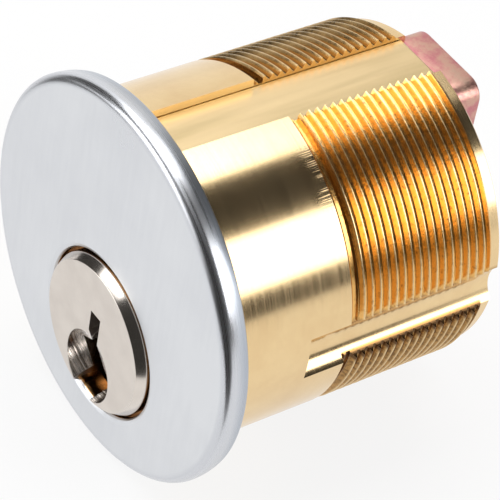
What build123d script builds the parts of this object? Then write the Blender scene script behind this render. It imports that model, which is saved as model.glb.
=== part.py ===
from build123d import *
from math import cos, pi, radians, sin, sqrt, tan
import os

# Mortise lock cylinder, in millimetres. +Y runs along the axis from the head into the body,
# +Z points to 12 o'clock, where the pins are, and +X to 3 o'clock as seen from the front.
# The origin is on the body's axis, in the plane of the head's seat, the back face of the head.

os.makedirs("parts", exist_ok=True)

# Shell: a round head and a threaded body in one piece, the thread at its major diameter.
# A relief is turned before the thread, and a pilot of the thread's root diameter behind it.
shell_length = 28.6
head_overhang = 2.4
head_thickness = 2.2
head_front_round = 0.8
head_round_steps = 3
body_diameter = 29.2
relief_start = 11.3
relief_width = 0.9
relief_depth = 0.65
pilot_length = 1.0
pilot_depth = 0.45

# Plug: turns in a bore below the body's axis
bore_wall = 2.41
plug_diameter = 12.7
plug_clearance = 0.04
plug_head_step = 0.63
plug_head_depth = 2.3
plug_proud = 0.62
plug_chamfer_radial = 0.48
plug_chamfer_depth = 0.75
plug_head_gap = 0.25
plug_head_end_gap = 0.05
mouth_bevel = 0.5

# Keyway: broached along the plug and open at its bottom, measured from the plug's axis
keyway_top = 2.5
keyway_left_upper = -0.5
keyway_left_lower = -1.6
keyway_right = 0.88
ward_shoulder = 0.4
ward_tip_side = 0.18
ward_tip_height = -0.17
ward_foot = -1.4

# Thumb cut: an end-milled hollow that leads the key in, tilted so that it deepens downwards
scoop_radius = 3.1
scoop_centre_drop = 3.2
scoop_start_drop = 0.2
scoop_tilt = 19.0

# Pin chambers: a row, one for each key pin, drilled from the 12 o'clock groove into the plug
first_pin = 5.87
pin_pitch = 3.97
chamber_diameter = 2.95
pin_clearance = 0.05
chamber_below_axis = 1.0
drill_point_angle = 90.0

# Pins and springs
key_pin_lengths = [5.2, 4.4, 6.0, 4.8, 5.6]
driver_length = 4.2
driver_chamfer = 0.25
shear_gap = 0.03
spring_wire = 0.32
spring_side_gap = 0.1
spring_turns = 6
spring_steps_per_turn = 8
spring_end_gap = 0.01

# 12 o'clock groove and the strip that closes the chambers
groove_width = 4.9
groove_depth = 2.0
groove_start = 0.4
cover_thickness = 1.0
cover_clearance = 0.03
cover_rear_chamfer = 0.5

# Set-screw slots at 3 and 9 o'clock, round-bottomed grooves whose middle lies a little above 3 o'clock
slot_start = 7.4
slot_depth = 1.4
slot_radius = 2.38
slot_height = 0.29

# Cam and its screws, on the rear of the plug
cam_gap = 0.1
cam_thickness = 3.0
cam_tip_inset = 1.95
cam_width = 9.0
cam_hub_rim = 1.25
cam_corner_round = 1.6
cam_neck_round = 2.0
screw_inset = 2.25
screw_diameter = 2.84
screw_hole_clearance = 0.03
screw_pass_clearance = 0.15
screw_length = 8.0
screw_head_diameter = 5.2
screw_seat_clearance = 0.02
screw_slot_width = 0.8
screw_slot_depth = 0.7

# Places that follow from the sizes above
front_y = -head_thickness
rear_y = shell_length - head_thickness
body_radius = body_diameter / 2
head_radius = body_radius + head_overhang
plug_radius = plug_diameter / 2
plug_head_radius = plug_radius + plug_head_step
bore_radius = plug_radius + plug_clearance
plug_z = -(body_radius - bore_wall - bore_radius)
plug_front_y = front_y - plug_proud
plug_head_back_y = plug_front_y + plug_head_depth
plug_rear_y = rear_y + cam_gap
mouth_radius = plug_head_radius + plug_head_gap
mouth_floor_y = plug_head_back_y + plug_head_end_gap
groove_floor_z = body_radius - groove_depth
slot_x = body_radius - slot_depth + slot_radius
chamber_radius = chamber_diameter / 2
pin_radius = chamber_radius - pin_clearance
drill_point_height = chamber_radius / tan(radians(drill_point_angle / 2))
chamber_bottom_z = plug_z - chamber_below_axis
pin_ys = [front_y + first_pin + pin_pitch * number for number in range(len(key_pin_lengths))]
plug_axis = Axis((0, 0, plug_z), (0, 1, 0))
cam_front_y = plug_rear_y
cam_back_y = cam_front_y + cam_thickness
cam_tip_z = body_radius - cam_tip_inset
cam_hub_radius = plug_radius + cam_hub_rim
screw_xs = [screw_inset - plug_radius, plug_radius - screw_inset]
screw_head_height = (screw_head_diameter - screw_diameter) / 2


# Shell
with BuildPart() as shell:
    rim_angles = [pi / 2 * step / head_round_steps for step in range(head_round_steps + 1)]
    rim_points = [
        (
            head_radius - head_front_round * (1 - sin(angle)),
            front_y + head_front_round * (1 - cos(angle)),
        )
        for angle in rim_angles
    ]
    with BuildSketch(Plane.XY):
        with BuildLine():
            Polyline(
                (0, front_y),
                *rim_points,
                (head_radius, 0),
                (body_radius, 0),
                (body_radius, relief_start),
                (body_radius - relief_depth, relief_start),
                (body_radius - relief_depth, relief_start + relief_width),
                (body_radius, relief_start + relief_width),
                (body_radius, rear_y - pilot_length - pilot_depth),
                (body_radius - pilot_depth, rear_y - pilot_length),
                (body_radius - pilot_depth, rear_y),
                (0, rear_y),
                close=True,
            )
        make_face()
    revolve(axis=Axis.Y)
    # The plug's bore, and the mouth that its head sits in
    with BuildSketch(Plane.XZ.offset(-front_y)):
        with Locations((0, plug_z)):
            Circle(bore_radius)
    extrude(amount=-shell_length, mode=Mode.SUBTRACT)
    with BuildSketch(Plane.XZ.offset(-front_y)):
        with Locations((0, plug_z)):
            Circle(mouth_radius)
    extrude(amount=-(mouth_floor_y - front_y), mode=Mode.SUBTRACT)
    with BuildSketch(Plane.XY.offset(plug_z)):
        with BuildLine():
            Polyline(
                (0, front_y),
                (mouth_radius + mouth_bevel, front_y),
                (mouth_radius, front_y + mouth_bevel),
                (0, front_y + mouth_bevel),
                close=True,
            )
        make_face()
    revolve(axis=plug_axis, mode=Mode.SUBTRACT)
    # The 12 o'clock groove, from just behind the head's seat to the rear
    with BuildSketch(Plane.XZ.offset(-groove_start)):
        with Locations((0, groove_floor_z)):
            Rectangle(groove_width, head_radius, align=(Align.CENTER, Align.MIN))
    extrude(amount=-shell_length, mode=Mode.SUBTRACT)
    # The two set-screw slots, mirror images of each other
    with BuildSketch(Plane.XZ.offset(-slot_start)):
        with Locations((slot_x, slot_height), (-slot_x, slot_height)):
            Circle(slot_radius)
    extrude(amount=-shell_length, mode=Mode.SUBTRACT)
    # The pin chambers, from the bore up to the groove's floor
    for pin_y in pin_ys:
        with Locations((0, pin_y, plug_z)):
            Cylinder(
                chamber_radius,
                groove_floor_z - plug_z + groove_depth,
                align=(Align.CENTER, Align.CENTER, Align.MIN),
                mode=Mode.SUBTRACT,
            )
shell.part.label = "shell"
export_step(shell.part, "parts/shell.step")


# Chamber cover: the strip pressed into the groove over the chambers
with BuildPart() as chamber_cover:
    with Locations((0, groove_start, groove_floor_z)):
        Box(
            groove_width - 2 * cover_clearance,
            rear_y - groove_start,
            cover_thickness,
            align=(Align.CENTER, Align.MIN, Align.MIN),
        )
    rear_top_edge = chamber_cover.faces().sort_by(Axis.Y)[-1].edges().sort_by(Axis.Z)[-1]
    chamfer(rear_top_edge, cover_rear_chamfer)
chamber_cover.part.label = "chamber_cover"
export_step(chamber_cover.part, "parts/chamber_cover.step")


# Plug
with BuildPart() as plug:
    with BuildSketch(Plane.XY.offset(plug_z)):
        with BuildLine():
            Polyline(
                (0, plug_front_y),
                (plug_head_radius - plug_chamfer_radial, plug_front_y),
                (plug_head_radius, plug_front_y + plug_chamfer_depth),
                (plug_head_radius, plug_head_back_y),
                (plug_radius, plug_head_back_y),
                (plug_radius, plug_rear_y),
                (0, plug_rear_y),
                close=True,
            )
        make_face()
    revolve(axis=plug_axis)
    # The keyway's section, with the ward that leans in from the left
    with BuildSketch(Plane.XZ.offset(-plug_front_y)):
        with BuildLine():
            Polyline(
                (keyway_left_upper, plug_z + keyway_top),
                (keyway_right, plug_z + keyway_top),
                (keyway_right, plug_z - mouth_radius),
                (keyway_left_lower, plug_z - mouth_radius),
                (keyway_left_lower, plug_z + ward_foot),
                (ward_tip_side, plug_z + ward_tip_height),
                (keyway_left_upper, plug_z + ward_shoulder),
                close=True,
            )
        make_face()
    extrude(amount=-(plug_rear_y - plug_front_y), mode=Mode.SUBTRACT)
    # The thumb cut, an end mill's round pocket whose flat floor starts at the face
    scoop_plane = Plane(
        origin=(0, plug_front_y, plug_z - scoop_start_drop),
        x_dir=(1, 0, 0),
        z_dir=Vector(0, -1, 0).rotate(Axis.X, scoop_tilt),
    )
    with BuildSketch(scoop_plane):
        with Locations((0, scoop_start_drop - scoop_centre_drop)):
            Circle(scoop_radius)
    extrude(amount=plug_diameter, mode=Mode.SUBTRACT)
    # Chambers for the key pins, each ending in a drill point across the keyway
    for pin_y in pin_ys:
        with Locations((0, pin_y, chamber_bottom_z + drill_point_height)):
            Cylinder(
                chamber_radius,
                plug_diameter,
                align=(Align.CENTER, Align.CENTER, Align.MIN),
                mode=Mode.SUBTRACT,
            )
        with Locations((0, pin_y, chamber_bottom_z)):
            Cone(
                0,
                chamber_radius,
                drill_point_height,
                align=(Align.CENTER, Align.CENTER, Align.MIN),
                mode=Mode.SUBTRACT,
            )
    # Tapped holes for the cam's screws
    with BuildSketch(Plane.XZ.offset(-plug_rear_y)):
        for screw_x in screw_xs:
            with Locations((screw_x, plug_z)):
                Circle(screw_diameter / 2 + screw_hole_clearance)
    extrude(amount=screw_length, mode=Mode.SUBTRACT)
plug.part.label = "plug"
export_step(plug.part, "parts/plug.step")


# Cam: a hub over the end of the plug and a lobe that points to 12 o'clock
with BuildPart() as cam:
    with BuildSketch(Plane.XZ.offset(-cam_front_y)) as cam_outline:
        with Locations((0, plug_z)):
            Rectangle(cam_width, cam_tip_z - plug_z, align=(Align.CENTER, Align.MIN))
        fillet(cam_outline.vertices().group_by(Axis.Y)[-1], cam_corner_round)
        with Locations((0, plug_z)):
            Circle(cam_hub_radius)
        neck_height = plug_z + sqrt(cam_hub_radius**2 - (cam_width / 2) ** 2)
        neck_corners = cam_outline.vertices().sort_by(lambda corner: abs(corner.Y - neck_height))[:2]
        fillet(neck_corners, cam_neck_round)
    extrude(amount=-cam_thickness)
    for screw_x in screw_xs:
        with Locations(Plane(origin=(screw_x, cam_back_y, plug_z), z_dir=(0, 1, 0))):
            CounterSinkHole(
                screw_diameter / 2 + screw_pass_clearance,
                screw_head_diameter / 2 + screw_seat_clearance,
                counter_sink_angle=90,
            )
cam.part.label = "cam"
export_step(cam.part, "parts/cam.step")


# Cam screws: two countersunk slotted screws, one node
with BuildPart() as cam_screws:
    for screw_x in screw_xs:
        with BuildSketch(Plane.XY.offset(plug_z)):
            with BuildLine():
                Polyline(
                    (screw_x, cam_back_y),
                    (screw_x + screw_head_diameter / 2, cam_back_y),
                    (screw_x + screw_diameter / 2, cam_back_y - screw_head_height),
                    (screw_x + screw_diameter / 2, cam_back_y - screw_length),
                    (screw_x, cam_back_y - screw_length),
                    close=True,
                )
            make_face()
        revolve(axis=Axis((screw_x, 0, plug_z), (0, 1, 0)))
        with Locations((screw_x, cam_back_y, plug_z)):
            Box(
                screw_head_diameter,
                2 * screw_slot_depth,
                screw_slot_width,
                mode=Mode.SUBTRACT,
            )
cam_screws.part.label = "cam_screws"
export_step(cam_screws.part, "parts/cam_screws.step")


# Key pins: flat on top, with the rim of the top just inside the plug's surface, and pointed below
key_pin_top_z = plug_z + sqrt((plug_radius - shear_gap) ** 2 - pin_radius**2)
point_height = pin_radius / tan(radians(drill_point_angle / 2))
for number, (pin_y, pin_length) in enumerate(zip(pin_ys, key_pin_lengths), start=1):
    pin_tip_z = key_pin_top_z - pin_length
    with BuildPart() as key_pin:
        with BuildSketch(Plane.XZ.offset(-pin_y)):
            with BuildLine():
                Polyline(
                    (0, key_pin_top_z),
                    (0, pin_tip_z),
                    (pin_radius, pin_tip_z + point_height),
                    (pin_radius, key_pin_top_z),
                    close=True,
                )
            make_face()
        revolve(axis=Axis((0, pin_y, 0), (0, 0, 1)))
    key_pin.part.label = f"key_pin_{number}"
    export_step(key_pin.part, f"parts/key_pin_{number}.step")


# Driver pins: plain cylinders that stand just clear of the plug
driver_bottom_z = plug_z + plug_radius + shear_gap
driver_top_z = driver_bottom_z + driver_length
for number, pin_y in enumerate(pin_ys, start=1):
    with BuildPart() as driver_pin:
        with Locations((0, pin_y, driver_bottom_z)):
            Cylinder(pin_radius, driver_length, align=(Align.CENTER, Align.CENTER, Align.MIN))
        chamfer(driver_pin.faces().sort_by(Axis.Z)[0].edges(), driver_chamfer)
    driver_pin.part.label = f"driver_pin_{number}"
    export_step(driver_pin.part, f"parts/driver_pin_{number}.step")


# Springs: square-wire coils between each driver pin and the underside of the cover
coil_radius = chamber_radius - spring_side_gap - spring_wire / 2
coil_bottom_z = driver_top_z + spring_end_gap + spring_wire / 2
coil_top_z = groove_floor_z - spring_end_gap - spring_wire / 2
coil_steps = spring_turns * spring_steps_per_turn
coil_rise = (coil_top_z - coil_bottom_z) / coil_steps
for number, pin_y in enumerate(pin_ys, start=1):
    coil_points = []
    for step in range(coil_steps + 1):
        turned = 2 * pi * step / spring_steps_per_turn
        coil_points.append(
            (coil_radius * cos(turned), pin_y + coil_radius * sin(turned), coil_bottom_z + coil_rise * step)
        )
    with BuildPart() as spring:
        with BuildLine() as coil:
            Polyline(*coil_points)
        with BuildSketch(Plane(origin=coil.line @ 0, z_dir=coil.line % 0)):
            Rectangle(spring_wire, spring_wire)
        sweep(transition=Transition.RIGHT)
    spring.part.label = f"spring_{number}"
    export_step(spring.part, f"parts/spring_{number}.step")
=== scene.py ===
# %% [markdown]
# # A mortise lock cylinder
#
# The real object is a turned brass cylinder. Its round head is plated and its body stays bare
# brass, with a fine thread cut along most of it. A plug with a keyway sits below the middle, five
# pin stacks stand over the plug, and a cam is screwed to its rear. Every length in this file is
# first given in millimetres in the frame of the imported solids: +Y runs from the head into the body,
# +Z is 12 o'clock and +X is 3 o'clock as seen from the front.

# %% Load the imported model
from math import cos, hypot, pi, radians, sin

import bmesh
import bpy
from mathutils import Matrix, Vector, noise


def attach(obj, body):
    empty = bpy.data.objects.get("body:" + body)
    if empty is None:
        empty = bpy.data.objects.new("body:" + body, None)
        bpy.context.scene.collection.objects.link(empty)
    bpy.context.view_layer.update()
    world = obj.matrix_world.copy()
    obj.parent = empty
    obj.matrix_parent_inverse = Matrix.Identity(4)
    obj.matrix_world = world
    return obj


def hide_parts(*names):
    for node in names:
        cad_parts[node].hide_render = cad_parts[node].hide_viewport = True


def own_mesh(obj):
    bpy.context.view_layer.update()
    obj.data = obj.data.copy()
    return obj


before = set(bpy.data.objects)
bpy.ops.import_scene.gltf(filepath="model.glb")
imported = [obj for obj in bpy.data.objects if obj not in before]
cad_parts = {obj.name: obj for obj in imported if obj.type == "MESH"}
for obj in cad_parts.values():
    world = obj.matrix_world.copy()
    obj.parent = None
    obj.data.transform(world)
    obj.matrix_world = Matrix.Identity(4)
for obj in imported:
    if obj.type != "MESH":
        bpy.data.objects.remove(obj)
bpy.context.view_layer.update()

# %% [markdown]
# ## The sizes that the pieces share
#
# The pieces fit into one another, so their common sizes stand here once. They are the same numbers
# as in the solids. A detailed piece that departs from them would rub on its neighbour or leave a
# gap.

# %% Shared sizes, in millimetres
MM = 0.001
HEAD_FRONT = -2.2
HEAD_R = 17.0
BODY_R = 14.6
REAR = 26.4
PLUG_Z = -5.8
PLUG_FRONT = -2.82
PLUG_R = 6.35
PLUG_HEAD_R = 6.98
PLUG_REAR = 26.5
GROOVE_FLOOR = 12.6
GROOVE_HALF = 2.45
GROOVE_START = 0.4
CHAMBER_R = 1.475
PIN_YS = [3.67, 7.64, 11.61, 15.58, 19.55]
SCREW_XS = [-4.1, 4.1]
PAST_REAR = 28.0
print(len(PIN_YS), "pin stacks from y", PIN_YS[0], "to", PIN_YS[-1])

# %% [markdown]
# ## Turning on a lathe
#
# Nearly everything here is turned. On a lathe a tool follows an outline while the work spins, and
# bmesh's spin does the same: a few corners joined by edges are swept round an axis. A full turn is
# closed with use_merge, and corners on the axis itself are merged into one pole. After that the
# normals are recalculated, because a spin can leave them pointing inwards.

# %% A lathe
def turn(outline, steps=192, centre=(0, 0, 0), axis=(0, 1, 0)):
    """A closed solid from an outline of (radius, place along the axis) corners."""
    bm = bmesh.new()
    along = Vector(axis)
    across = Vector((1, 0, 0))
    corners = [bm.verts.new(Vector(centre) + across * r + along * a) for r, a in outline]
    edges = [bm.edges.new(pair) for pair in zip(corners, corners[1:] + corners[:1])]
    bmesh.ops.spin(
        bm,
        geom=corners + edges,
        cent=centre,
        axis=along,
        angle=2 * pi,
        steps=steps,
        use_merge=True,
    )
    bmesh.ops.remove_doubles(bm, verts=bm.verts, dist=1e-5)
    bmesh.ops.recalc_face_normals(bm, faces=bm.faces)
    return bm


def corner(centre_r, centre_a, radius, start, end, count):
    """Points of a rounded corner of an outline, in degrees from the radius towards the axis."""
    angles = [radians(start + (end - start) * i / count) for i in range(count + 1)]
    return [(centre_r + radius * cos(a), centre_a + radius * sin(a)) for a in angles]


print("lathe ready")

# %% [markdown]
# ## Milling and drilling
#
# A milled slot is the work minus the path of the cutter. A Boolean does the same with two closed
# solids. Each tool below is a bmesh of its own that reaches well past the faces it leaves, so that
# no two faces lie in one plane. Cutting leaves slivers behind, and a flat face that is made of
# slivers doesn't reflect evenly, so they are dissolved at the end.

# %% Cut and join solids
def combine(bm, tool, how="DIFFERENCE"):
    """The Boolean of two closed solids. Both are used up and a new mesh comes back."""
    objects = []
    for name, mesh_data in (("work", bm), ("tool", tool)):
        mesh = bpy.data.meshes.new(name)
        mesh_data.to_mesh(mesh)
        mesh_data.free()
        thing = bpy.data.objects.new(name, mesh)
        bpy.context.scene.collection.objects.link(thing)
        objects.append(thing)
    work, cutter = objects
    modifier = work.modifiers.new("cut", "BOOLEAN")
    modifier.object = cutter
    modifier.operation = how
    modifier.solver = "MANIFOLD"
    bpy.context.view_layer.update()
    evaluated = work.evaluated_get(bpy.context.evaluated_depsgraph_get())
    result = bpy.data.meshes.new_from_object(evaluated)
    made = bmesh.new()
    made.from_mesh(result)
    for thing in objects:
        mesh = thing.data
        bpy.data.objects.remove(thing)
        bpy.data.meshes.remove(mesh)
    bpy.data.meshes.remove(result)
    return made


def whole_faces(bm):
    """Clears the slivers that cutting leaves and makes flat faces whole again."""
    bmesh.ops.dissolve_degenerate(bm, dist=1e-4, edges=bm.edges)
    bmesh.ops.dissolve_limit(bm, angle_limit=radians(0.1), verts=bm.verts, edges=bm.edges)
    bmesh.ops.recalc_face_normals(bm, faces=bm.faces)
    open_edges = sum(not edge.is_manifold for edge in bm.edges)
    print(len(bm.faces), "faces,", open_edges, "open edges")


print("cutting ready")

# %% Bars and sets of tools
def prism(section, start, end):
    """A bar along Y with a section of (x, z) corners."""
    bm = bmesh.new()
    face = bm.faces.new([bm.verts.new((x, start, z)) for x, z in section])
    grown = bmesh.ops.extrude_face_region(bm, geom=[face])
    verts = [part for part in grown["geom"] if isinstance(part, bmesh.types.BMVert)]
    bmesh.ops.translate(bm, verts=verts, vec=(0, end - start, 0))
    bmesh.ops.recalc_face_normals(bm, faces=bm.faces)
    return bm


def block(low, high):
    """A box between two corners."""
    section = [(low[0], low[2]), (high[0], low[2]), (high[0], high[2]), (low[0], high[2])]
    return prism(section, low[1], high[1])


def together(parts):
    """Several separate solids in one mesh."""
    whole = bmesh.new()
    for part in parts:
        mesh = bpy.data.meshes.new("part")
        part.to_mesh(mesh)
        part.free()
        whole.from_mesh(mesh)
        bpy.data.meshes.remove(mesh)
    return whole


print("bars ready")

# %% [markdown]
# ## From a mesh to a finished piece
#
# A finished piece is smooth wherever two faces meet at a small angle, and sharp elsewhere. A large
# flat face is also sharp all round, or the roundings beside it would bend its reflections. The mesh
# is scaled to metres only now, because the cutting above works best at whole millimetres. Then the
# piece is given a body to ride on and its finishes, and the solids that it replaces are hidden.

# %% Finishing a piece
FLAT_AREA = 20 * MM * MM


def finish(bm, name, body, nodes, materials, smooth_angle=32.0):
    """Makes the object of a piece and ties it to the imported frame."""
    mesh = bpy.data.meshes.new(name)
    bm.to_mesh(mesh)
    bm.free()
    mesh.transform(Matrix.Scale(MM, 4))
    for polygon in mesh.polygons:
        polygon.use_smooth = True
    mesh.set_sharp_from_angle(angle=radians(smooth_angle))
    large = [polygon for polygon in mesh.polygons if polygon.area > FLAT_AREA]
    borders = {key for polygon in large for key in polygon.edge_keys}
    for edge in mesh.edges:
        if edge.key in borders:
            edge.use_edge_sharp = True
    for material in materials:
        mesh.materials.append(material)
    piece = bpy.data.objects.new(name, mesh)
    bpy.context.scene.collection.objects.link(piece)
    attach(piece, body)
    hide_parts(*nodes)
    triangles = sum(len(polygon.vertices) - 2 for polygon in mesh.polygons)
    print(name, triangles, "triangles")
    return piece


print("faces over", round(FLAT_AREA / MM / MM), "square mm are sharp all round")

# %% [markdown]
# ## Metals
#
# All the finishes are bare or plated metal, so each is one Principled shader with Metallic at 1.
# What sets them apart is the work that made the surface: a lathe leaves rings round the axis,
# drawing leaves lines along the strip, tumbling leaves clouds. Those are noises on Object
# coordinates, stretched by a Mapping node, which drive colour, roughness and bump together. Small
# helpers keep the node graphs short. Most of them return a pattern, which is a socket that is 0
# where something is missing and 1 where it is there.

# %% Node helpers
class Finish:
    """A material with one Principled shader, and short ways to add patterns to it."""

    def __init__(self, name, colour, roughness):
        self.material = bpy.data.materials.new(name)
        self.material.use_nodes = True
        self.tree = self.material.node_tree
        self.shader = self.tree.nodes["Principled BSDF"]
        self.shader.inputs["Base Color"].default_value = (*colour, 1)
        self.shader.inputs["Metallic"].default_value = 1.0
        self.shader.inputs["Roughness"].default_value = roughness
        self.coordinates = self.tree.nodes.new("ShaderNodeTexCoord").outputs["Object"]

    def put(self, value, target):
        """Links a socket to an input, or writes a plain value into it."""
        if isinstance(value, bpy.types.NodeSocket):
            self.tree.links.new(value, target)
        else:
            target.default_value = value

    def grain(self, stretch, detail=4.0, rough=0.55, offset=(0, 0, 0)):
        """Noise whose grains are 1/stretch metres along each axis."""
        mapping = self.tree.nodes.new("ShaderNodeMapping")
        mapping.inputs["Scale"].default_value = stretch
        mapping.inputs["Location"].default_value = offset
        self.tree.links.new(self.coordinates, mapping.inputs["Vector"])
        texture = self.tree.nodes.new("ShaderNodeTexNoise")
        texture.inputs["Scale"].default_value = 1.0
        texture.inputs["Detail"].default_value = detail
        texture.inputs["Roughness"].default_value = rough
        self.tree.links.new(mapping.outputs["Vector"], texture.inputs["Vector"])
        return texture.outputs["Fac"]

    def maths(self, how, a, b=0.0):
        """A Math node."""
        node = self.tree.nodes.new("ShaderNodeMath")
        node.operation = how
        self.put(a, node.inputs[0])
        self.put(b, node.inputs[1])
        return node.outputs[0]

    def times(self, first, *others):
        """The product of several patterns, which is 1 where all of them are."""
        for other in others:
            first = self.maths("MULTIPLY", first, other)
        return first

    def choose(self, where, there, elsewhere):
        """One number where a pattern is 1 and another where it is 0."""
        missing = self.maths("SUBTRACT", 1.0, where)
        return self.maths("ADD", self.times(elsewhere, missing), self.times(there, where))

    def distance(self, across, upwards):
        """The length of the diagonal over two lengths."""
        squares = [self.maths("POWER", side, 2.0) for side in (across, upwards)]
        return self.maths("SQRT", self.maths("ADD", *squares))

    def ramp(self, value, low, high, to_low=0.0, to_high=1.0):
        """A Map Range node, clamped."""
        mapped = self.tree.nodes.new("ShaderNodeMapRange")
        self.put(value, mapped.inputs["Value"])
        self.put(low, mapped.inputs["From Min"])
        self.put(high, mapped.inputs["From Max"])
        self.put(to_low, mapped.inputs["To Min"])
        self.put(to_high, mapped.inputs["To Max"])
        return mapped.outputs["Result"]

    def zone(self, place, low, high, to_low=0.0, to_high=1.0):
        """A ramp over a place or a radius, with its limits in millimetres."""
        return self.ramp(place, low * MM, high * MM, to_low, to_high)

    def blend(self, factor, a, b):
        """A colour between a and b."""
        mix = self.tree.nodes.new("ShaderNodeMix")
        mix.data_type = "RGBA"
        self.put(factor, mix.inputs[0])
        for target, colour in ((mix.inputs[6], a), (mix.inputs[7], b)):
            self.put(colour if isinstance(colour, bpy.types.NodeSocket) else (*colour, 1), target)
        return mix.outputs[2]

    def place(self, centre_z=0.0):
        """The place along Y, and the distance and the angle round an axis at height centre_z.

        Lengths are in metres. The angle is in radians, clockwise from 12 o'clock.
        """
        parts = self.tree.nodes.new("ShaderNodeSeparateXYZ")
        self.tree.links.new(self.coordinates, parts.inputs[0])
        across = parts.outputs["X"]
        lifted = self.maths("SUBTRACT", parts.outputs["Z"], centre_z)
        angle = self.maths("ARCTAN2", across, lifted)
        return parts.outputs["Y"], self.distance(across, lifted), angle

    def bump(self, height, distance, strength=1.0, after=None):
        """A bump of a height pattern; distance is the full height in metres."""
        bumped = self.tree.nodes.new("ShaderNodeBump")
        bumped.inputs["Strength"].default_value = strength
        bumped.inputs["Distance"].default_value = distance
        self.put(height, bumped.inputs["Height"])
        if after is not None:
            self.tree.links.new(after, bumped.inputs["Normal"])
        self.tree.links.new(bumped.outputs["Normal"], self.shader.inputs["Normal"])
        return bumped.outputs["Normal"]

    def wear(self, colour, roughness):
        """Puts patterns into the colour and the roughness."""
        self.put(colour, self.shader.inputs["Base Color"])
        self.put(roughness, self.shader.inputs["Roughness"])
        return self.material


print("node helpers ready")

# %% [markdown]
# ### Satin plate on the head
#
# The head is plated a pale blue-grey and rubbed to a satin. Up close it is cloudy, with faint
# upright streaks from the rubbing, and the roll at its rim is brushed round and shines more than
# the face. Towards the seat the rim is darker and bluer, which is painted shade. The distance from
# the axis tells face from rim, so one finish covers both.

# %% Satin plate
PALE_PLATE = (0.76, 0.775, 0.80)
RUBBED_PLATE = (0.69, 0.705, 0.735)
RIM_PLATE = (0.65, 0.665, 0.70)
# Painted shade: the darker, bluer colour that the rim turns to towards the seat.
SEAT_SHADE_PLATE = (0.40, 0.44, 0.50)

plate = Finish("satin_plate", PALE_PLATE, 0.3)
clouds = plate.grain((110, 110, 90), detail=3.0)
streaks = plate.grain((1500, 400, 160), detail=3.0)
rubbed = plate.maths("ADD", plate.times(clouds, 0.75), plate.times(streaks, 0.25))
along, radius, _ = plate.place()
on_rim = plate.zone(radius, 16.0, 16.4)
# Painted shade: the rim darkens towards the seat.
seat_shade = plate.zone(along, -1.3, -0.4, 0.0, 0.8)
brushed = plate.grain((60, 9000, 60), detail=2.0)
satin = plate.ramp(rubbed, 0.35, 0.65, 0.27, 0.36)
shine = plate.ramp(brushed, 0.3, 0.7, 0.22, 0.36)
plate.bump(plate.grain((4200, 2600, 1600), detail=3.0), 3e-6, 0.3)
face_plate = plate.blend(plate.ramp(rubbed, 0.38, 0.62), RUBBED_PLATE, PALE_PLATE)
rim_plate_with_shade = plate.blend(seat_shade, RIM_PLATE, SEAT_SHADE_PLATE)
plate.wear(plate.blend(on_rim, face_plate, rim_plate_with_shade), plate.choose(on_rim, shine, satin))
print("satin plate of", len(plate.tree.nodes), "nodes")

# %% [markdown]
# ### Bare brass, as turned
#
# The body is free-machining brass straight from the lathe. The tool leaves very fine rings, so the
# noise is stretched hard across Y. The thread is cut by a die, which tears the metal: its crests
# are pale and ragged and its valleys hold dark specks of cutting oil. The distance from the axis
# tells crest from valley, and the angle round the axis tells where the die tore most.

# %% Brass: where the thread is
brass = Finish("turned_brass", (0.83, 0.61, 0.33), 0.2)
along, radius, angle = brass.place()
_, from_plug_axis, _ = brass.place(PLUG_Z * MM)
rings = brass.grain((90, 14000, 90), detail=3.0)
stains = brass.grain((260, 260, 260), detail=5.0, rough=0.65)
specks = brass.grain((2600, 2600, 2600), detail=4.0, rough=0.7)

TORN_FROM = (-0.1, 0.3)
past_relief = brass.times(brass.zone(along, 11.3, 11.5), brass.zone(along, 25.3, 25.5, 1.0, 0.0))
in_thread = brass.times(past_relief, brass.zone(radius, 13.85, 13.95))
valley = brass.times(brass.zone(radius, 14.44, 14.58, 1.0, 0.0), in_thread)
pitted = brass.times(in_thread, brass.ramp(angle, *TORN_FROM))
print("thread, valleys and pits placed")

# %% [markdown]
# The valleys are a deeper orange, which is a painted reflection of light bounced between the flanks.
# On the left of 12 o'clock they are brown, and from 3 o'clock down they are nearly black: both are
# painted shade. The upper lip of the set-screw slot and the crests just under the slot are darkened
# with painted shade too, and so is the bore.

# %% Brass: colour
PLAIN_BRASS = (0.84, 0.63, 0.35)
STAINED_BRASS = (0.78, 0.56, 0.30)
# The valley colour is a painted reflection of bounced light. The browns for the left valleys, the
# slot's lip, the underside and the bore are painted shade. The speck colour is dirt.
VALLEY_BOUNCE_BRASS = (0.83, 0.47, 0.15)
LEFT_VALLEY_SHADE_BRASS = (0.34, 0.24, 0.12)
LIP_SHADE_BRASS = (0.42, 0.26, 0.11)
UNDERSIDE_SHADE_BRASS = (0.13, 0.07, 0.03)
SPECK_BRASS = (0.30, 0.17, 0.08)
BORE_SHADE_BRASS = (0.46, 0.27, 0.12)
LEFT_SHADE_UNTIL = (-0.3, 0.15)
UNDERSIDE_SHADE_FROM, UNDERSIDE_SHADE_THINS = (1.62, 1.7), (1.85, 2.2)
LIP_SHADE_FROM, LIP_SHADE_UNTIL = (1.40, 1.42), (1.43, 1.53)
UNDER_SLOT_SHADE_FROM, UNDER_SLOT_SHADE_UNTIL = (1.66, 1.68), (1.71, 1.75)

colour = brass.blend(brass.ramp(stains, 0.35, 0.7), PLAIN_BRASS, STAINED_BRASS)
# Painted reflection: the valleys get a deeper orange for light bounced between the flanks.
colour = brass.blend(valley, colour, VALLEY_BOUNCE_BRASS)
# Painted shade: the valleys left of 12 o'clock turn brown.
left_valley_shade = brass.times(brass.ramp(angle, *LEFT_SHADE_UNTIL, 0.55, 0.0), valley)
colour = brass.blend(left_valley_shade, colour, LEFT_VALLEY_SHADE_BRASS)
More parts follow.
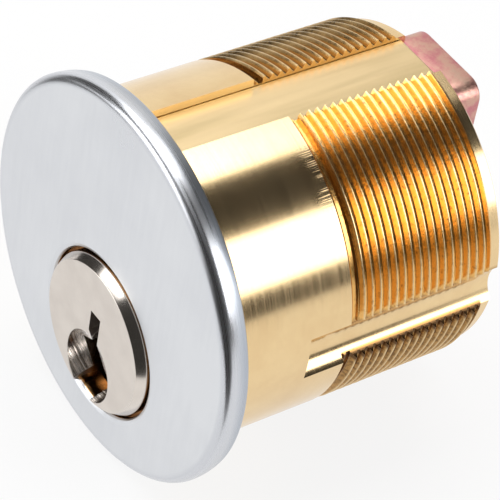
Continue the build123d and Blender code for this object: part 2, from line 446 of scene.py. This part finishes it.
# Painted shade: the upper lip of the set-screw slot is darkened.
slot_lip_shade = brass.times(
    brass.ramp(angle, *LIP_SHADE_FROM),
    brass.ramp(angle, *LIP_SHADE_UNTIL, 0.6, 0.0),
    brass.zone(radius, 14.4, 14.55, 1.0, 0.0),
)
colour = brass.blend(slot_lip_shade, colour, LIP_SHADE_BRASS)
# Painted shade: the valleys from 3 o'clock down turn nearly black.
underside_shade = brass.times(
    brass.ramp(angle, *UNDERSIDE_SHADE_FROM, 0.0, 0.9),
    brass.ramp(angle, *UNDERSIDE_SHADE_THINS, 1.0, 0.7),
    brass.times(brass.zone(radius, 14.46, 14.6, 1.0, 0.1), in_thread),
    brass.ramp(specks, 0.42, 0.66, 1.0, 0.5),
)
# Painted shade: a band of crests just under the slot is darkened.
under_slot_shade = brass.times(brass.ramp(angle, *UNDER_SLOT_SHADE_FROM), brass.ramp(angle, *UNDER_SLOT_SHADE_UNTIL, in_thread, 0.0))
colour = brass.blend(brass.maths("MAXIMUM", underside_shade, under_slot_shade), colour, UNDERSIDE_SHADE_BRASS)
dirt = brass.times(brass.ramp(specks, 0.60, 0.68), pitted)
colour = brass.blend(brass.times(dirt, 0.8), colour, SPECK_BRASS)
# Painted shade: the bore is coloured dark brown.
bore_shade = brass.zone(from_plug_axis, 7.4, 7.5, 1.0, 0.0)
brass_colour = brass.blend(bore_shade, colour, BORE_SHADE_BRASS)
print("brass coloured")

# %% [markdown]
# Just before the thread, on one side, the die has left short scratches along the body. They are a
# bump of their own, between the lathe's rings and the pits.

# %% Brass: roughness and relief
NICKS_FROM, NICKS_UNTIL = (0.36, 0.42), (0.66, 0.74)
NICK_HEIGHT = 0.8e-5
PIT_HEIGHT = 1.6e-5

smooth = brass.ramp(rings, 0.3, 0.7, 0.14, 0.22)
torn = brass.ramp(specks, 0.35, 0.65, 0.15, 0.27)
brass.wear(brass_colour, brass.choose(in_thread, torn, smooth))
turned = brass.bump(rings, 2.0e-6, 0.4)
nicks = brass.ramp(brass.grain((11000, 160, 11000), detail=1.0), 0.52, 0.65)
by_thread = brass.times(brass.zone(along, 9.9, 11.0), brass.zone(along, 11.2, 11.3, 1.0, 0.0))
one_side = brass.times(brass.ramp(angle, *NICKS_FROM), brass.ramp(angle, *NICKS_UNTIL, 1.0, 0.0))
nicked = brass.times(nicks, brass.times(by_thread, one_side))
turned = brass.bump(nicked, NICK_HEIGHT, 0.6, after=turned)
brass.bump(brass.times(specks, pitted), PIT_HEIGHT, 0.6, after=turned)
print("turned brass of", len(brass.tree.nodes), "nodes")

# %% [markdown]
# ### Drawn brass on the strip
#
# The strip is drawn through a die, so its lines run along Y, some fine and some broad.

# %% Drawn brass
strip_finish = Finish("drawn_brass", (0.80, 0.61, 0.30), 0.3)
lines = strip_finish.grain((2400, 70, 2400), detail=4.0)
broad = strip_finish.grain((700, 60, 700), detail=2.0, offset=(3, 1, 2))
strip_finish.bump(lines, 6e-6, 0.5)
drawn = strip_finish.ramp(broad, 0.35, 0.65)
strip_finish.wear(
    strip_finish.blend(drawn, (0.75, 0.58, 0.33), (0.62, 0.48, 0.26)),
    strip_finish.ramp(lines, 0.3, 0.7, 0.31, 0.41),
)
print("drawn brass of", len(strip_finish.tree.nodes), "nodes")

# %% [markdown]
# ### Nickel on the plug
#
# The plug's face is blasted to a warm satin and its chamfer is bright, which the distance from the
# plug's axis tells apart. The thumb cut is made last with a tilted end mill, so it is fresh metal
# with the mill's marks. A Mapping node in Texture mode turns the coordinates to the mill's axis,
# and a noise in one dimension changes with the distance from that axis and the depth along it.

# %% The end mill of the thumb cut
MILL_R = 3.1
MILL_REACH = 12.7
MILL_TILT = radians(19.0)
mill_axis = Vector((0, -cos(MILL_TILT), -sin(MILL_TILT)))
mill_up = Vector((0, -sin(MILL_TILT), cos(MILL_TILT)))
mill_end = Vector((0, PLUG_FRONT, PLUG_Z - 0.2)) - 3.0 * mill_up
print("end mill starts at", [round(v, 3) for v in mill_end])

# %% Nickel: the mill's marks
nickel = Finish("nickel_plug", (0.70, 0.64, 0.585), 0.3)
along, radius, _ = nickel.place(PLUG_Z * MM)
level = nickel.tree.nodes.new("ShaderNodeMapping")
level.vector_type = "TEXTURE"
level.inputs["Location"].default_value = mill_end * MM
level.inputs["Rotation"].default_value = (MILL_TILT, 0, 0)
nickel.tree.links.new(nickel.coordinates, level.inputs["Vector"])
mill_parts = nickel.tree.nodes.new("ShaderNodeSeparateXYZ")
nickel.tree.links.new(level.outputs["Vector"], mill_parts.inputs[0])
from_mill = nickel.distance(mill_parts.outputs["X"], mill_parts.outputs["Z"])
mill_rings = nickel.tree.nodes.new("ShaderNodeTexNoise")
mill_rings.noise_dimensions = "1D"
mill_rings.inputs["Scale"].default_value = 3000.0
mill_rings.inputs["Detail"].default_value = 2.0
ring_place = nickel.maths("ADD", from_mill, mill_parts.outputs["Y"])
nickel.tree.links.new(ring_place, mill_rings.inputs["W"])
marks = mill_rings.outputs["Fac"]
in_cut = nickel.times(
    nickel.zone(from_mill, MILL_R + 0.02, MILL_R + 0.04, 1.0, 0.0), nickel.zone(along, -2.8, -2.78)
)
print("mill marks every", 1000 / mill_rings.inputs["Scale"].default_value, "mm")

# %% Nickel: colour, roughness and relief
BLASTED_NICKEL = ((0.68, 0.62, 0.565), (0.74, 0.68, 0.62))
FRESH_NICKEL = (0.93, 0.89, 0.85)
MARK_NICKEL = (0.30, 0.25, 0.21)
# Painted shade: the dark brown deep in the keyway.
KEYWAY_SHADE = (0.26, 0.16, 0.08)

blasted = nickel.grain((3000, 3000, 3000), detail=3.0)
patches = nickel.grain((420, 420, 420), detail=3.0)
off_chamfer = nickel.zone(radius, 6.5, 6.56, 1.0, 0.0)
blasted_face = nickel.bump(nickel.times(blasted, off_chamfer), 5e-6, 0.5)
nickel.bump(nickel.times(marks, in_cut), 6e-5, 0.7, after=blasted_face)
colour = nickel.blend(nickel.ramp(patches, 0.35, 0.65), *BLASTED_NICKEL)
colour = nickel.blend(in_cut, colour, FRESH_NICKEL)
tool_marks = nickel.times(nickel.ramp(marks, 0.5, 0.6, 0.0, 0.7), in_cut)
colour = nickel.blend(tool_marks, colour, MARK_NICKEL)
# Painted shade: the plug turns dark brown deeper than 0.9 mm inside.
keyway_shade_depth = nickel.zone(along, -1.3, -0.9)
face_rough = nickel.ramp(off_chamfer, 0.0, 1.0, 0.18, 0.33)
nickel.wear(
    nickel.blend(keyway_shade_depth, colour, KEYWAY_SHADE),
    nickel.maths("SUBTRACT", face_rough, nickel.times(in_cut, 0.1)),
)
print("nickel of", len(nickel.tree.nodes), "nodes")

# %% [markdown]
# ### Tinted cam plate, steel and wire
#
# The cam is plated with a thin film that turns pink and yellow with its thickness, and its surface
# is grainy. The screws are plain steel with scuffs. The pins are turned, so they have fine rings
# round Z, and the springs share that pattern.

# %% Tinted cam plate
cam_finish = Finish("tinted_plate", (0.76, 0.47, 0.43), 0.35)
film = cam_finish.grain((620, 620, 620), detail=4.0, rough=0.65)
grit = cam_finish.grain((4200, 4200, 4200), detail=3.0)
pink = cam_finish.blend(cam_finish.ramp(film, 0.38, 0.55), (0.56, 0.21, 0.23), (0.63, 0.36, 0.29))
tinted = cam_finish.blend(cam_finish.ramp(film, 0.54, 0.8, 0.0, 0.6), pink, (0.55, 0.47, 0.34))
cam_finish.bump(grit, 2.5e-5, 0.5)
cam_finish.wear(tinted, cam_finish.ramp(grit, 0.3, 0.7, 0.28, 0.45))
print("cam plate of", len(cam_finish.tree.nodes), "nodes")

# %% Steel, pin brass and spring wire
steel = Finish("screw_steel", (0.62, 0.60, 0.57), 0.3)
scuffs = steel.grain((2500, 2500, 2500), detail=3.0)
steel.bump(scuffs, 4e-6, 0.5)
steel.wear(
    steel.blend(steel.ramp(scuffs, 0.35, 0.65), (0.55, 0.53, 0.50), (0.68, 0.66, 0.63)),
    steel.ramp(scuffs, 0.3, 0.7, 0.22, 0.38),
)


def pin_metal(name, dark, light):
    """Turned pin stock: fine rings round Z."""
    metal = Finish(name, light, 0.25)
    turned_rings = metal.grain((150, 150, 9000), detail=3.0)
    metal.bump(turned_rings, 3e-6, 0.5)
    return metal.wear(
        metal.blend(metal.ramp(turned_rings, 0.3, 0.7), dark, light),
        metal.ramp(turned_rings, 0.3, 0.7, 0.18, 0.32),
    )


pin_brass = pin_metal("key_pin_brass", (0.76, 0.54, 0.26), (0.86, 0.66, 0.36))
driver_brass = pin_metal("driver_pin_brass", (0.72, 0.50, 0.25), (0.82, 0.62, 0.34))
wire = pin_metal("spring_wire", (0.50, 0.49, 0.47), (0.68, 0.67, 0.64))
print("small metals", pin_brass.name, driver_brass.name, wire.name)

# %% [markdown]
# ## The camera
#
# The photograph was taken from the front right and above with a long lens. The camera stands where
# that view puts it, and the lens gives the same amount of perspective.

# %% Camera
camera_data = bpy.data.cameras.new("camera")
camera_data.lens = 196.64
camera_data.sensor_width = 36.0
camera_data.clip_start = 0.01
camera = bpy.data.objects.new("camera", camera_data)
camera.matrix_world = Matrix(
    (
        (0.55211, -0.61891, 0.55868, 0.125342),
        (0.82199, 0.29177, -0.48909, -0.097647),
        (0.13969, 0.72926, 0.66983, 0.148061),
        (0, 0, 0, 1),
    )
)
bpy.context.scene.collection.objects.link(camera)
bpy.context.scene.camera = camera
print("camera at", [round(v, 4) for v in camera.matrix_world.translation])

# %% [markdown]
# ## The shell: blank
#
# The blank is one outline, turned. Its rim is a rolled corner and narrows a little towards the
# seat, the seat behind the head is flat, and a relief is cut where the thread will begin, with one
# faint ridge that the die leaves in it. Under the thread the blank is turned down, because the
# thread comes on as a rod of its own.

# %% Turn the blank
RIM_ROLL = 0.8
RELIEF = (11.3, 12.2)
RELIEF_R = 13.95
RIDGE_R = 14.13
CORE_R = 13.6
TAIL_R = 14.15
rim_taper = [(16.985, -0.95), (16.94, -0.65), (16.87, -0.35), (16.79, -0.1), (16.7, 0)]
blank = turn(
    [(0, HEAD_FRONT), (15.6, HEAD_FRONT), (16.1, HEAD_FRONT)]
    + corner(HEAD_R - RIM_ROLL, HEAD_FRONT + RIM_ROLL, RIM_ROLL, -90, 0, 8)
    + [(HEAD_R, -1.25)]
    + rim_taper
    + [(BODY_R, 0), (BODY_R, 0.3), (BODY_R, RELIEF[0] - 0.06), (BODY_R - 0.06, RELIEF[0])]
    + [(RELIEF_R, RELIEF[0] + 0.04), (RELIEF_R, 11.52), (RIDGE_R, 11.64), (RIDGE_R, 11.72)]
    + [(RELIEF_R, 11.84), (RELIEF_R, 12.6), (CORE_R, 12.6), (CORE_R, 25.0), (TAIL_R, 25.0)]
    + [(TAIL_R, REAR - 0.15), (TAIL_R - 0.15, REAR), (0, REAR)]
)
print("blank", len(blank.faces), "faces")

# %% [markdown]
# ## The shell: thread
#
# The thread is right-handed with 32 turns to the inch. One outline of ridges is swept round the
# axis while it moves along by one pitch in a turn, which is bmesh's spin with a dvec. Its end then
# falls on its beginning one ridge further on, so the seam closes. A little noise leaves the crests
# ragged, more on the right than on the left.

# %% Sweep the thread
PITCH = 25.4 / 32
FIRST_RIDGE = 12.378
ROOT_R = 14.1
STEPS = 192
RIDGES = range(-1, 18)
flank = [(-PITCH / 2, ROOT_R), (-0.32, 14.12), (-0.255, 14.18), (-0.2, 14.28), (-0.028, BODY_R)]
ridge = flank + [(0, BODY_R)] + [(-place, r) for place, r in flank[:0:-1]]
rod = bmesh.new()
line = [
    rod.verts.new((0, FIRST_RIDGE + PITCH * number + place, r))
    for number in RIDGES
    for place, r in ridge
]
line_edges = [rod.edges.new(pair) for pair in zip(line, line[1:])]
bmesh.ops.spin(
    rod,
    geom=line + line_edges,
    cent=(0, 0, 0),
    axis=(0, 1, 0),
    dvec=(0, PITCH / STEPS, 0),
    angle=2 * pi,
    steps=STEPS,
)
bmesh.ops.remove_doubles(rod, verts=rod.verts, dist=1e-3)
print("thread of", round(PITCH, 4), "mm pitch,", len(rod.faces), "faces")

# %% Tear its crests
CREST_R = 14.4
TORN_DEPTH = {"left": 0.003, "right": 0.016}
for vert in rod.verts:
    r = hypot(vert.co.x, vert.co.z)
    if r > CREST_R:
        depth = TORN_DEPTH["left" if vert.co.x < 0 else "right"]
        ragged = noise.noise(vert.co * 2.2) + 0.7 * noise.noise(vert.co * 5.0) + 0.6
        torn_away = depth * ragged
        vert.co.x *= 1 - max(0.0, torn_away) / r
        vert.co.z *= 1 - max(0.0, torn_away) / r
print("crests torn by up to", TORN_DEPTH["right"] * 2.3, "mm")

# %% [markdown]
# Two planes trim the rod and both ends are filled, so that it is a closed solid. Then its last turn
# gets a chamfer, and the rod joins the blank.

# %% Trim the thread and join it to the blank
THREAD_END = 25.4


def trim(bm, y, keep_above):
    """Cuts a tube across at y, throws one side away and fills the opening."""
    cut = bmesh.ops.bisect_plane(
        bm,
        geom=bm.verts[:] + bm.edges[:] + bm.faces[:],
        dist=1e-6,
        plane_co=(0, y, 0),
        plane_no=(0, 1, 0),
        clear_inner=keep_above,
        clear_outer=not keep_above,
    )
    rim = [part for part in cut["geom_cut"] if isinstance(part, bmesh.types.BMEdge)]
    bmesh.ops.edgeloop_fill(bm, edges=rim)


trim(rod, RELIEF[1], True)
trim(rod, THREAD_END, False)
bmesh.ops.recalc_face_normals(rod, faces=rod.faces)
open_edges = sum(not edge.is_manifold for edge in rod.edges)
print("thread trimmed,", open_edges, "open edges")
chamfer_end = THREAD_END + 0.2
chamfer_tool = turn([(13.95, chamfer_end), (15.4, chamfer_end), (15.4, THREAD_END - 1.25)])
rod = combine(rod, chamfer_tool)
shell = combine(blank, rod, "UNION")
print("shell with thread,", len(shell.faces), "faces")

# %% [markdown]
# ## The shell: bore, groove and slots
#
# The bore and its mouth are turned off-centre, and the mouth's edge is rolled over a little, so
# that the plate on it catches the light. The groove at 12 o'clock has a flat floor. The two
# set-screw slots are milled with a round-nosed cutter, and five chambers are drilled from the
# groove down into the bore.

# %% Bore the shell and mill its groove
MOUTH_R = 7.23
MOUTH_FLOOR = -0.47
BORE_R = 6.39
mouth_roll = [(7.78, HEAD_FRONT - 0.02), (7.6, -2.14), (7.42, -2.03), (7.3, -1.86), (7.24, -1.68)]
mouth = turn(
    [(0, -4.0), (9.0, -4.0), (9.0, HEAD_FRONT - 0.3)]
    + mouth_roll
    + [(MOUTH_R, -1.5), (MOUTH_R, MOUTH_FLOOR), (BORE_R, MOUTH_FLOOR)]
    + [(BORE_R, PAST_REAR), (0, PAST_REAR)],
    steps=128,
    centre=(0, 0, PLUG_Z),
)
shell = combine(shell, mouth)
groove_low = (-GROOVE_HALF, GROOVE_START, GROOVE_FLOOR)
shell = combine(shell, block(groove_low, (GROOVE_HALF, PAST_REAR, 18)))
print("bore", 2 * BORE_R, "mm and groove", 2 * GROOVE_HALF, "mm wide")

# %% Mill the slots and drill the chambers
SLOT_R = 2.38
SLOT_DEPTH = 1.4
SLOT_START = 7.4
SLOT_Z = 0.29
slot_outline = [(0, SLOT_START), (SLOT_R, SLOT_START), (SLOT_R, PAST_REAR), (0, PAST_REAR)]
slot_x = BODY_R - SLOT_DEPTH + SLOT_R
shell = combine(shell, together(turn(slot_outline, 96, (x, 0, SLOT_Z)) for x in (slot_x, -slot_x)))
DRILL_TOP = 13.0
chamber = [(0, PLUG_Z), (CHAMBER_R, PLUG_Z), (CHAMBER_R, DRILL_TOP), (0, DRILL_TOP)]
shell = combine(shell, together(turn(chamber, 32, (0, y, 0), (0, 0, 1)) for y in PIN_YS))
whole_faces(shell)

# %% [markdown]
# The plate covers the whole head and ends inside the mouth, where the brass begins.

# %% Plate the head
PLATE_END = 7.295
for face in shell.faces:
    from_plug = min(hypot(vert.co.x, vert.co.z - PLUG_Z) for vert in face.verts)
    plated = face.calc_center_median().y < 0.001 and from_plug > PLATE_END
    face.material_index = 0 if plated else 1
shell_finishes = [plate.material, brass.material]
finish(shell, "lock_shell", "shell", ["shell"], shell_finishes, 17.0)

# %% [markdown]
# ## The strip over the chambers
#
# A drawn brass strip is pressed into the groove over the springs. It is a bar with its edges
# broken, and its rear end is filed to a slope.

# %% Chamber cover
STRIP_HALF = 2.42
STRIP_TOP = 13.6
cover = block((-STRIP_HALF, GROOVE_START, GROOVE_FLOOR), (STRIP_HALF, REAR, STRIP_TOP))


def edges_between(bm, low_y, low_z):
    """The edges with both ends beyond a place along Y and a height."""
    return [e for e in bm.edges if all(v.co.y > low_y and v.co.z > low_z for v in e.verts)]


filed = edges_between(cover, REAR - 0.01, STRIP_TOP - 0.1)
bmesh.ops.bevel(
    cover, geom=filed, offset=0.5, segments=1, profile=0.5, affect="EDGES", material=-1
)
long_top = edges_between(cover, GROOVE_START - 1, STRIP_TOP - 0.55)
bmesh.ops.bevel(
    cover, geom=long_top, offset=0.06, segments=2, profile=0.5, affect="EDGES", material=-1
)
strip_nodes = ["chamber_cover"]
finish(cover, "cover_strip", "shell", strip_nodes, [strip_finish.material])

# %% [markdown]
# ## The plug
#
# The plug is turned with a larger head whose chamfer ends in a fine rounded edge. Then the keyway
# is broached through it, with a ward that leans in from the left, the thumb cut is milled with the
# tilted end mill, the pin chambers are drilled and two holes are tapped for the cam.

# %% Turn the plug
PLUG_SEAT = -0.52
chamfer = [(6.5, PLUG_FRONT), (6.54, PLUG_FRONT + 0.02), (6.57, PLUG_FRONT + 0.06), (6.95, -2.1)]
plug = turn(
    [(0, PLUG_FRONT), (6.2, PLUG_FRONT)]
    + chamfer
    + [(6.972, -2.06), (PLUG_HEAD_R, -2.0), (PLUG_HEAD_R, PLUG_SEAT), (PLUG_R, PLUG_SEAT)]
    + [(PLUG_R, PLUG_REAR), (0, PLUG_REAR)],
    steps=128,
    centre=(0, 0, PLUG_Z),
)
print("plug", len(plug.faces), "faces")

# %% Broach, mill and drill the plug
ward = [(-1.6, -1.4), (0.18, -0.17), (-0.5, 0.4)]
keyway = [(-0.5, 2.5), (0.88, 2.5), (0.88, -7.4), (-1.6, -7.4)] + ward
plug = combine(plug, prism([(x, PLUG_Z + z) for x, z in keyway], -4.0, PAST_REAR))
mill = [(0, 0), (MILL_R, 0), (MILL_R, MILL_REACH), (0, MILL_REACH)]
plug = combine(plug, turn(mill, 96, mill_end, mill_axis))
DRILL_POINT = -6.8
pin_drill = [(0, DRILL_POINT), (CHAMBER_R, DRILL_POINT + CHAMBER_R), (CHAMBER_R, 4.0), (0, 4.0)]
plug = combine(plug, together(turn(pin_drill, 32, (0, y, 0), (0, 0, 1)) for y in PIN_YS))
TAP_R = 1.45
TAP_START = 18.5
tap = [(0, TAP_START), (TAP_R, TAP_START), (TAP_R, PAST_REAR), (0, PAST_REAR)]
plug = combine(plug, together(turn(tap, 32, (x, 0, PLUG_Z)) for x in SCREW_XS))
whole_faces(plug)
finish(plug, "key_plug", "plug", ["plug"], [nickel.material])

# %% [markdown]
# ## Pieces that keep their solids' shape
#
# The cam and its screws already have the right outline. A copy of the solid's mesh is merged, its
# flat faces are made whole again, and its sharp edges are broken with a small bevel, as a stamped
# part's are in a tumbler.

# %% Broken edges on the cam and its screws
def edges_broken(node, offset, segments):
    """A merged copy of a solid with its sharp edges bevelled, in millimetres."""
    bm = bmesh.new()
    bm.from_mesh(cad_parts[node].data)
    bmesh.ops.scale(bm, vec=(1 / MM, 1 / MM, 1 / MM), verts=bm.verts)
    bmesh.ops.remove_doubles(bm, verts=bm.verts, dist=1e-4)
    bmesh.ops.dissolve_limit(bm, angle_limit=radians(0.5), verts=bm.verts, edges=bm.edges)
    sharp = [e for e in bm.edges if e.is_manifold and e.calc_face_angle(0.0) > radians(40)]
    bmesh.ops.bevel(
        bm,
        geom=sharp,
        offset=offset,
        segments=segments,
        profile=0.5,
        affect="EDGES",
        material=-1,
        clamp_overlap=True,
    )
    return bm


cam = edges_broken("cam", 0.18, 3)
finish(cam, "cam_plate", "plug", ["cam"], [cam_finish.material])
screws = edges_broken("cam_screws", 0.05, 1)
finish(screws, "cam_fixings", "plug", ["cam_screws"], [steel.material])

# %% [markdown]
# ## Springs
#
# Each spring is round wire wound six times. A small ring is swept round the chamber's axis while it
# climbs, with flatter turns at both ends so that the coil stands square.

# %% Wind the springs
WIRE_R = 0.16
COIL_R = 1.215
SPRING_Z = (4.79 + WIRE_R, 12.59 - WIRE_R)
OPEN_TURNS = 4
TURN_STEPS = 24


def wind(y):
    """A coil between the driver pin and the strip."""
    bm = bmesh.new()
    ring = bmesh.ops.create_circle(bm, cap_ends=True, radius=WIRE_R, segments=8)["verts"]
    upright = Matrix.Rotation(pi / 2, 3, "X")
    bmesh.ops.rotate(bm, verts=ring, cent=(0, 0, 0), matrix=upright)
    bmesh.ops.translate(bm, verts=ring, vec=(COIL_R, y, SPRING_Z[0]))
    end = bm.faces[:]
    closed_rise = 2 * WIRE_R + 0.02
    open_rise = (SPRING_Z[1] - SPRING_Z[0] - 2 * closed_rise) / OPEN_TURNS
    for turns, rise in ((1, closed_rise), (OPEN_TURNS, open_rise), (1, closed_rise)):
        swept = bmesh.ops.spin(
            bm,
            geom=end,
            cent=(0, y, 0),
            axis=(0, 0, 1),
            dvec=(0, 0, rise / TURN_STEPS),
            angle=2 * pi * turns,
            steps=TURN_STEPS * turns,
        )
        end = [part for part in swept["geom_last"] if isinstance(part, bmesh.types.BMFace)]
    bmesh.ops.recalc_face_normals(bm, faces=bm.faces)
    return bm


for number, y in enumerate(PIN_YS, start=1):
    coil = finish(
        wind(y), f"coil_{number}", "shell", [f"spring_{number}"], [wire], 60
    )
    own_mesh(coil)

# %% [markdown]
# ## Pins
#
# The pins are plain turned brass and their solids already have the right shape, so they stay as
# they are and only get their finish.

# %% Finish the pins
for number in range(1, len(PIN_YS) + 1):
    for node, metal in ((f"key_pin_{number}", pin_brass), (f"driver_pin_{number}", driver_brass)):
        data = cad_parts[node].data
        data.materials.clear()
        data.materials.append(metal)
print(2 * len(PIN_YS), "pins finished")

# %% [markdown]
# ## The studio
#
# Polished metal shows the room more than its own colour, so the room is what gives the object its
# look. The photograph has a white room with large soft lights and dark cloths, whose reflections
# are the bright and dark bands along the body and round the rim. The world and the floor are white
# where the camera or a reflection looks at them, and dimmer as a light on the object. A Light Path
# node tells the two apart.

# %% World
scene = bpy.context.scene
scene.view_settings.view_transform = "Standard"
world = bpy.data.worlds.new("studio")
scene.world = world
world.use_nodes = True
WHITE = (1, 1, 1, 1)
SOFT_LEVEL = 0.35


def seen_directly(tree):
    """1 for camera, mirror and glass rays, 0 for diffuse light."""
    path = tree.nodes.new("ShaderNodeLightPath")
    total = path.outputs["Is Camera Ray"]
    for name in ("Is Glossy Ray", "Is Transmission Ray"):
        larger = tree.nodes.new("ShaderNodeMath")
        larger.operation = "MAXIMUM"
        tree.links.new(total, larger.inputs[0])
        tree.links.new(path.outputs[name], larger.inputs[1])
        total = larger.outputs[0]
    return total


def mix_shaders(tree, share, first, second, target):
    """Blends two shaders by a share and links them to the output."""
    mixed = tree.nodes.new("ShaderNodeMixShader")
    tree.links.new(share, mixed.inputs[0])
    tree.links.new(first.outputs[0], mixed.inputs[1])
    tree.links.new(second.outputs[0], mixed.inputs[2])
    tree.links.new(mixed.outputs[0], tree.nodes[target].inputs["Surface"])


sky = world.node_tree
soft = sky.nodes["Background"]
soft.inputs["Color"].default_value = WHITE
soft.inputs["Strength"].default_value = SOFT_LEVEL
white = sky.nodes.new("ShaderNodeBackground")
white.inputs["Color"].default_value = WHITE
white.inputs["Strength"].default_value = 1.0
mix_shaders(sky, seen_directly(sky), soft, white, "World Output")
print("world lights with", SOFT_LEVEL, "and looks white")

# %% Floor
FLOOR_Z = -17.02
FLOOR_GLOW = 0.85
floor_bm = bmesh.new()
bmesh.ops.create_grid(floor_bm, x_segments=1, y_segments=1, size=1.5)
bmesh.ops.translate(floor_bm, verts=floor_bm.verts, vec=(0, 0, FLOOR_Z * MM))
floor_mesh = bpy.data.meshes.new("floor")
floor_bm.to_mesh(floor_mesh)
floor_bm.free()
floor = bpy.data.objects.new("floor", floor_mesh)
scene.collection.objects.link(floor)

paper = bpy.data.materials.new("floor_paper")
paper.use_nodes = True
sheet = paper.node_tree
matt = sheet.nodes["Principled BSDF"]
matt.inputs["Base Color"].default_value = (0.92, 0.92, 0.92, 1)
matt.inputs["Roughness"].default_value = 1.0
glow = sheet.nodes.new("ShaderNodeEmission")
glow.inputs["Color"].default_value = WHITE
glow.inputs["Strength"].default_value = 1.0
glowing = sheet.nodes.new("ShaderNodeMath")
glowing.operation = "MULTIPLY"
sheet.links.new(seen_directly(sheet), glowing.inputs[0])
glowing.inputs[1].default_value = FLOOR_GLOW
mix_shaders(sheet, glowing.outputs[0], matt, glow, "Material Output")
floor_mesh.materials.append(paper)
print("floor at", FLOOR_Z, "mm")

# %% [markdown]
# Four soft lights stand round the object. The ceiling has two side by side, and the left one ends
# sooner at the rear.

# %% Soft lights
def softbox(name, middle, size, facing, radiance):
    """A square lamp; radiance is how bright it looks, 1 being white."""
    lamp = bpy.data.lights.new(name, "AREA")
    lamp.shape = "RECTANGLE"
    lamp.size = size[0] * MM
    lamp.size_y = size[1] * MM
    lamp.energy = radiance * 4 * lamp.size * lamp.size_y
    holder = bpy.data.objects.new(name, lamp)
    turned_to = (-Vector(facing)).to_track_quat("Z", "Y").to_matrix().to_4x4()
    holder.matrix_world = Matrix.Translation(Vector(middle) * MM) @ turned_to
    holder.visible_camera = False
    scene.collection.objects.link(holder)
    print(name, "of", round(lamp.energy, 2), "W")


DOWN, LEFTWARDS, REARWARDS = (0, 0, -1), (-1, 0, 0), (0, 1, 0)
softbox("ceiling_softbox", (-90, -5, 430), (220, 590), DOWN, 1.9)
softbox("ceiling_softbox_left", (-305, -65, 430), (210, 470), DOWN, 1.9)
softbox("right_softbox", (340, 317, 236), (425, 302), LEFTWARDS, 2.1)
softbox("front_left_softbox", (-217, -400, 122), (337, 277), REARWARDS, 1.6)

# %% [markdown]
# The cloths hang just outside the lights and lie on the floor. The camera doesn't see them and they
# throw no shadow: only the metal shows them. The black ones on the floor are painted shadow of the
# object, seen only in the metal's reflections.

# %% Dark, grey and pale cloths
def cloth_of(name, level):
    """A plain, slightly warm glowing surface, level 1 being white."""
    material = bpy.data.materials.new(name)
    material.use_nodes = True
    nodes = material.node_tree.nodes
    nodes.remove(nodes["Principled BSDF"])
    emission = nodes.new("ShaderNodeEmission")
    emission.inputs["Color"].default_value = (level, level * 0.97, level * 0.93, 1)
    surface = nodes["Material Output"].inputs["Surface"]
    material.node_tree.links.new(emission.outputs[0], surface)
    return material


def hang_cloth(name, low, high, material):
    """A cloth between two corners in millimetres, which only shows in reflections."""
    bm = block(low, high)
    bmesh.ops.scale(bm, vec=(MM, MM, MM), verts=bm.verts)
    mesh = bpy.data.meshes.new(name)
    bm.to_mesh(mesh)
    bm.free()
    mesh.materials.append(material)
    cloth = bpy.data.objects.new(name, mesh)
    scene.collection.objects.link(cloth)
    cloth.visible_camera = False
    cloth.visible_diffuse = False
    cloth.visible_shadow = False


black = cloth_of("black_cloth", 0.045)
grey = cloth_of("grey_cloth", 0.4)
pale = cloth_of("pale_cloth", 0.95)
print("cloths", black.name, grey.name, pale.name)

# %% Hang the cloths
LEFT, RIGHT = -430, 345
FRONT, BACK = -430, 560
GROUND, CEILING = -17, 434
THICK = 2
TOP = CEILING + THICK
hang_cloth("ceiling_right", (21, FRONT, CEILING), (RIGHT, BACK, TOP), black)
hang_cloth("ceiling_front", (LEFT, FRONT, CEILING), (21, -300, TOP), black)
hang_cloth("wall_right_front", (RIGHT, FRONT, GROUND), (RIGHT + THICK, 105, CEILING), black)
hang_cloth("wall_right_low", (RIGHT, 105, GROUND), (RIGHT + THICK, 235, 85), black)
hang_cloth("wall_right_high", (RIGHT, 105, 387), (RIGHT + THICK, BACK, CEILING), black)
hang_cloth("wall_front", (-49, FRONT - THICK, GROUND), (RIGHT, FRONT, CEILING), black)
hang_cloth("wall_front_high", (LEFT, FRONT - THICK, 262), (-49, FRONT, CEILING), black)
hang_cloth("wall_left", (LEFT - THICK, FRONT, GROUND), (LEFT, 5, CEILING), black)
hang_cloth("ceiling_rear", (-130, 263, CEILING), (RIGHT, BACK, TOP), black)
hang_cloth("wall_rear", (-130, BACK, 60), (RIGHT, BACK + THICK, CEILING), black)
hang_cloth("ceiling_rear_grey", (-330, 263, CEILING), (-130, BACK, TOP), grey)
hang_cloth("wall_rear_grey", (-330, BACK, 60), (-130, BACK + THICK, CEILING), grey)
hang_cloth("ceiling_rear_pale", (-900, 360, CEILING), (-330, BACK, TOP), pale)
hang_cloth("wall_rear_pale", (-900, BACK, 60), (-330, BACK + THICK, CEILING), pale)
# Painted shadow: these dark cloths on the floor stand for the object's shadow in reflections.
hang_cloth("floor_shadow_right_front", (28, FRONT, -16.9), (RIGHT, -12, -16.8), black)
hang_cloth("floor_shadow_front", (-10, FRONT, -16.9), (28, -55, -16.8), black)
hang_cloth("floor_shadow_left_front", (LEFT, -110, -16.9), (-60, -20, -16.8), black)
print("studio ready")
